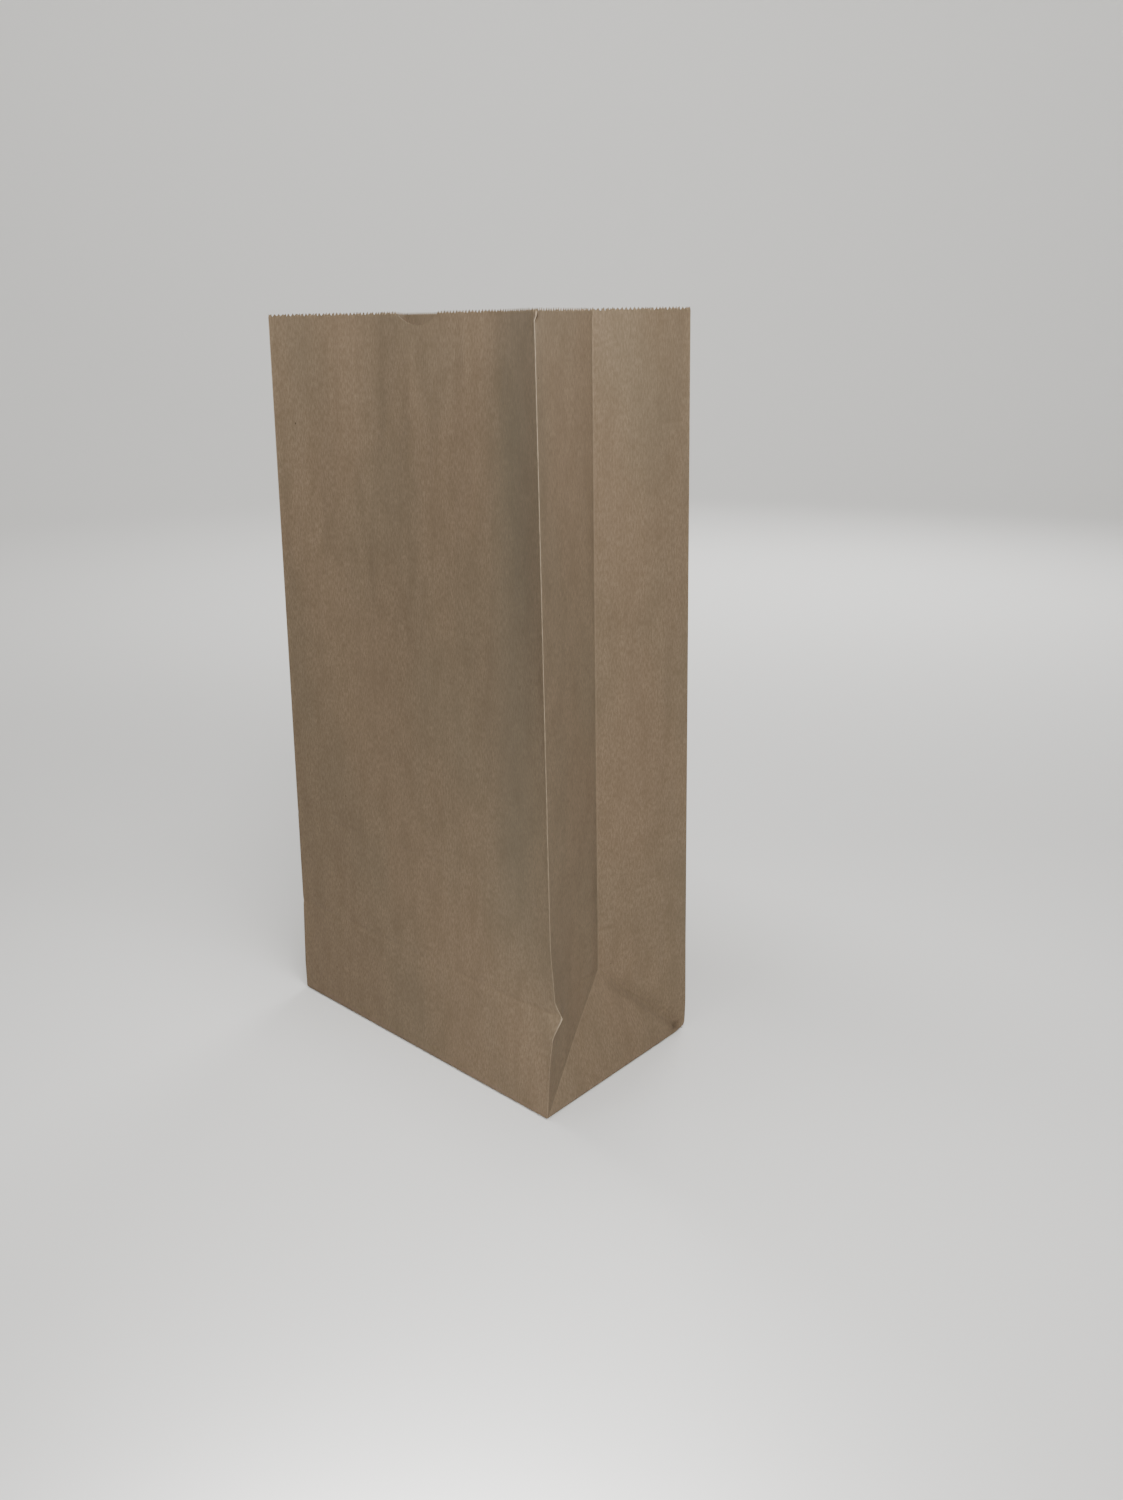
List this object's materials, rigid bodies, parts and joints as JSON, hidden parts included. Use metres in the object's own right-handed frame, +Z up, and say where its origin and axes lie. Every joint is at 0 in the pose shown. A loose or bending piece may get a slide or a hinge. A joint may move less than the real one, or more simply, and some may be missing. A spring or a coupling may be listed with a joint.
{
  "type": "paper bag",
  "caption": "Square-bottomed brown kraft paper lunch bag standing open, with folded side gussets, a flat glued base and a toothed rim with a thumb notch.",
  "frame": {"origin": "on the floor under the middle of the rectangular base", "axes": "+Z up from the base to the rim, +Y across the short side of the base from the notched front panel to the back panel, +X along the front panel"},
  "size_m": [0.14, 0.0801, 0.27],
  "materials": {
    "kraft_paper": "matte unbleached kraft paper with fine fibres"
  },
  "bodies": {
    "root": {"paper_bag": "kraft_paper"}
  },
  "joints": []
}
